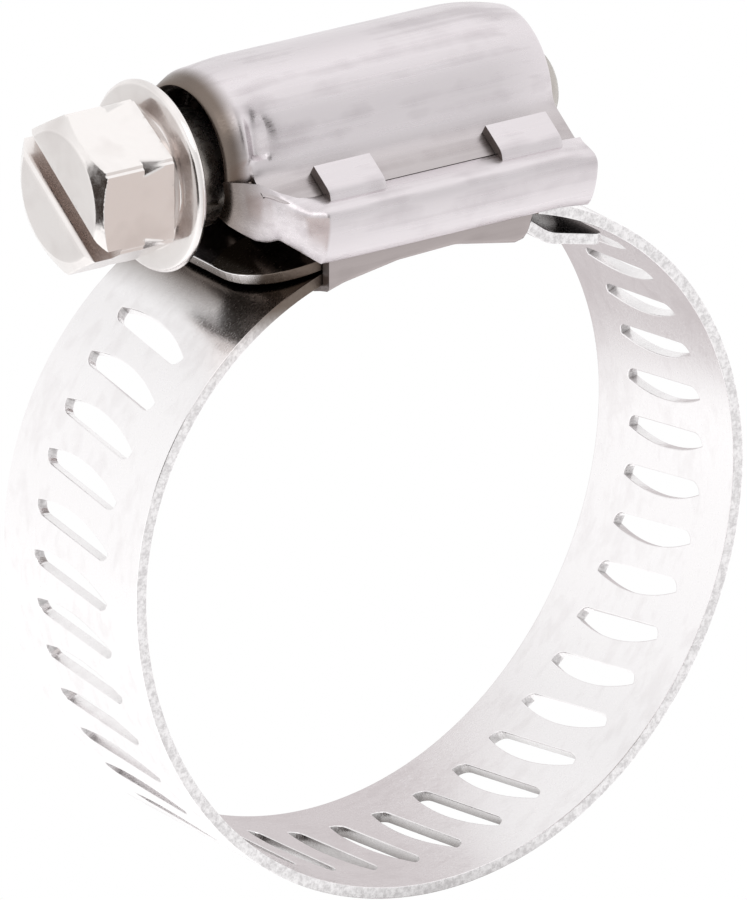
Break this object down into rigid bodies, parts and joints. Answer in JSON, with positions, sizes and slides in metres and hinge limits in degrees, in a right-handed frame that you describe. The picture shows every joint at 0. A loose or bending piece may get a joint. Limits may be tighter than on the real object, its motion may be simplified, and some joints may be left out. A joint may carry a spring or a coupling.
{
  "type": "worm-drive hose clamp",
  "caption": "Worm-drive hose clamp: a slotted steel band in a ring, tightened by a slotted hexagon screw in a two-piece housing.",
  "frame": {"origin": "middle of the round space for the hose: its axis, in the middle of the band's width", "axes": "+X along the screw from head to tip, +Y along the hose's axis, +Z from the hose's axis to the housing"},
  "size_m": [0.0401, 0.017, 0.0476],
  "materials": {
    "housing_steel": "pressed stainless sheet, satin",
    "screw_steel": "bright turned steel",
    "band_steel": "bright rolled stainless strip with sheared edges"
  },
  "bodies": {
    "housing": {"cap": "housing_steel", "saddle": "housing_steel", "band_fixed_end": "band_steel"},
    "screw": {"screw": "screw_steel"},
    "band_tail": {"band_tail": "band_steel"},
    "band_tongue": {"band_tongue": "band_steel"},
    "band_length_01": {"band_length_01": "band_steel"},
    "band_length_02": {"band_length_02": "band_steel"},
    "band_length_03": {"band_length_03": "band_steel"},
    "band_length_04": {"band_length_04": "band_steel"},
    "band_length_05": {"band_length_05": "band_steel"},
    "band_length_06": {"band_length_06": "band_steel"},
    "band_length_07": {"band_length_07": "band_steel"},
    "band_length_08": {"band_length_08": "band_steel"},
    "band_length_09": {"band_length_09": "band_steel"},
    "band_length_10": {"band_length_10": "band_steel"},
    "band_length_11": {"band_length_11": "band_steel"},
    "band_length_12": {"band_length_12": "band_steel"}
  },
  "joints": [
    {"name": "screw_turn", "type": "hinge", "parent": "housing", "child": "screw", "pos_m": [-0.0204, 0, 0.0233], "axis": [1, 0, 0], "range_deg": [-360, 360]},
    {"name": "band_feed", "type": "hinge", "parent": "housing", "child": "band_tail", "pos_m": [0, 0, -0.01028], "axis": [0, -1, 0], "range_deg": [-5.45, 5.45]},
    {"name": "band_bend_01", "type": "hinge", "parent": "band_tail", "child": "band_length_01", "pos_m": [0.00633, 0, 0.01899], "axis": [0, -1, 0], "range_deg": [-2.81, 2.81]},
    {"name": "band_bend_02", "type": "hinge", "parent": "band_length_01", "child": "band_length_02", "pos_m": [0.00896, 0, 0.01806], "axis": [0, -1, 0], "range_deg": [-1.01, 1.01]},
    {"name": "band_bend_03", "type": "hinge", "parent": "band_length_02", "child": "band_length_03", "pos_m": [0.01363, 0, 0.01501], "axis": [0, -1, 0], "range_deg": [-0.9, 0.9]},
    {"name": "band_bend_04", "type": "hinge", "parent": "band_length_03", "child": "band_length_04", "pos_m": [0.0183, 0, 0.00813], "axis": [0, -1, 0], "range_deg": [-0.75, 0.75]},
    {"name": "band_bend_05", "type": "hinge", "parent": "band_length_04", "child": "band_length_05", "pos_m": [0.01932, 0, -0.00014], "axis": [0, -1, 0], "range_deg": [-0.64, 0.64]},
    {"name": "band_bend_06", "type": "hinge", "parent": "band_length_05", "child": "band_length_06", "pos_m": [0.01688, 0, -0.00812], "axis": [0, -1, 0], "range_deg": [-0.56, 0.56]},
    {"name": "band_bend_07", "type": "hinge", "parent": "band_length_06", "child": "band_length_07", "pos_m": [0.01154, 0, -0.01453], "axis": [0, -1, 0], "range_deg": [-0.52, 0.52]},
    {"name": "band_bend_13", "type": "hinge", "parent": "housing", "child": "band_length_12", "pos_m": [-0.01812, 0, 0.00841], "axis": [0, -1, 0], "range_deg": [-0.77, 0.77]},
    {"name": "band_bend_12", "type": "hinge", "parent": "band_length_12", "child": "band_length_11", "pos_m": [-0.01935, 0, 0.00018], "axis": [0, -1, 0], "range_deg": [-0.7, 0.7]},
    {"name": "band_bend_11", "type": "hinge", "parent": "band_length_11", "child": "band_length_10", "pos_m": [-0.01703, 0, -0.00784], "axis": [0, -1, 0], "range_deg": [-0.64, 0.64]},
    {"name": "band_bend_10", "type": "hinge", "parent": "band_length_10", "child": "band_length_09", "pos_m": [-0.01179, 0, -0.01433], "axis": [0, -1, 0], "range_deg": [-0.58, 0.58]},
    {"name": "band_bend_09", "type": "hinge", "parent": "band_length_09", "child": "band_length_08", "pos_m": [-0.00432, 0, -0.01801], "axis": [0, -1, 0], "range_deg": [-0.54, 0.54]},
    {"name": "tongue_flex", "type": "hinge", "parent": "housing", "child": "band_tongue", "pos_m": [0.0043, 0, 0.01867], "axis": [0, -1, 0], "range_deg": [-2.55, 2.55]}
  ],
  "couplings": [
    {"joint": "band_feed", "follows": "screw_turn", "ratio": 0.014854},
    {"joint": "band_bend_01", "follows": "screw_turn", "ratio": 0.007641},
    {"joint": "band_bend_02", "follows": "screw_turn", "ratio": -0.002738},
    {"joint": "band_bend_03", "follows": "screw_turn", "ratio": -0.0024491},
    {"joint": "band_bend_04", "follows": "screw_turn", "ratio": -0.0020529},
    {"joint": "band_bend_05", "follows": "screw_turn", "ratio": -0.0017373},
    {"joint": "band_bend_06", "follows": "screw_turn", "ratio": -0.001521},
    {"joint": "band_bend_07", "follows": "screw_turn", "ratio": -0.0014057},
    {"joint": "band_bend_13", "follows": "screw_turn", "ratio": 0.0020838},
    {"joint": "band_bend_12", "follows": "screw_turn", "ratio": 0.0019139},
    {"joint": "band_bend_11", "follows": "screw_turn", "ratio": 0.001749},
    {"joint": "band_bend_10", "follows": "screw_turn", "ratio": 0.0015918},
    {"joint": "band_bend_09", "follows": "screw_turn", "ratio": 0.0014639},
    {"joint": "tongue_flex", "follows": "screw_turn", "ratio": -0.0069444}
  ]
}
